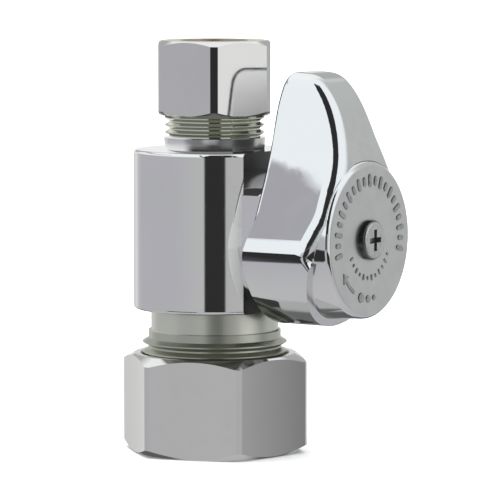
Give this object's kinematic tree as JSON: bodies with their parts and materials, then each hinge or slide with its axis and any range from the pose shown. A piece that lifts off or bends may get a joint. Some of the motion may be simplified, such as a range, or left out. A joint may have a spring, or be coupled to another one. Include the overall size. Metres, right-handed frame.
{
  "type": "compression stop valve",
  "caption": "Straight quarter-turn water stop: compression inlet below, smaller compression outlet above, side lever handle on a ball valve.",
  "frame": {"origin": "middle of the inlet nut's end face, on the flow axis", "axes": "+Z along the flow from inlet to outlet, -Y towards the handle's face, +X to the right seen from the handle's side"},
  "size_m": [0.0266, 0.0398, 0.0586],
  "materials": {
    "chrome_plate": "polished plating over turned brass",
    "handle_chrome": "polished plating with a satin front face",
    "polished_chrome": "mirror",
    "raw_brass": "machined",
    "ptfe": "waxy",
    "black_rubber": "matte",
    "screw_steel": "satin zinc"
  },
  "bodies": {
    "valve": {"valve_body": "chrome_plate", "inlet_seat": "ptfe", "outlet_seat": "ptfe", "ball_retainer": "raw_brass", "retainer_o_ring": "black_rubber"},
    "handle": {"handle": "handle_chrome", "handle_screw": "screw_steel", "stem": "raw_brass", "stem_inner_o_ring": "black_rubber", "stem_outer_o_ring": "black_rubber", "stem_thrust_washer": "ptfe"},
    "ball": {"ball": "polished_chrome"},
    "inlet_ferrule": {"inlet_ferrule": "raw_brass"},
    "inlet_nut": {"inlet_nut": "chrome_plate"},
    "outlet_ferrule": {"outlet_ferrule": "raw_brass"},
    "outlet_nut": {"outlet_nut": "chrome_plate"}
  },
  "joints": [
    {"name": "handle_turn", "type": "hinge", "parent": "valve", "child": "handle", "pos_m": [0, 0, 0.0314], "axis": [0, 1, 0], "range_deg": [0, 90]},
    {"name": "ball_turn", "type": "hinge", "parent": "valve", "child": "ball", "pos_m": [0, 0, 0.0314], "axis": [0, 1, 0], "range_deg": [0, 90]},
    {"name": "inlet_nut_travel", "type": "slide", "parent": "valve", "child": "inlet_ferrule", "axis": [0, 0, -1], "range_m": [0, 0.00706]},
    {"name": "inlet_nut_turn", "type": "hinge", "parent": "inlet_ferrule", "child": "inlet_nut", "pos_m": [0, 0, 0], "axis": [0, 0, -1], "range_deg": [0, 1800]},
    {"name": "outlet_nut_travel", "type": "slide", "parent": "valve", "child": "outlet_ferrule", "axis": [0, 0, 1], "range_m": [0, 0.00529]},
    {"name": "outlet_nut_turn", "type": "hinge", "parent": "outlet_ferrule", "child": "outlet_nut", "pos_m": [0, 0, 0.05865], "axis": [0, 0, 1], "range_deg": [0, 1800]}
  ],
  "couplings": [
    {"joint": "ball_turn", "follows": "handle_turn", "ratio": 1},
    {"joint": "inlet_nut_travel", "follows": "inlet_nut_turn", "m_per_rad": 0.00022459},
    {"joint": "outlet_nut_travel", "follows": "outlet_nut_turn", "m_per_rad": 0.00016844}
  ]
}
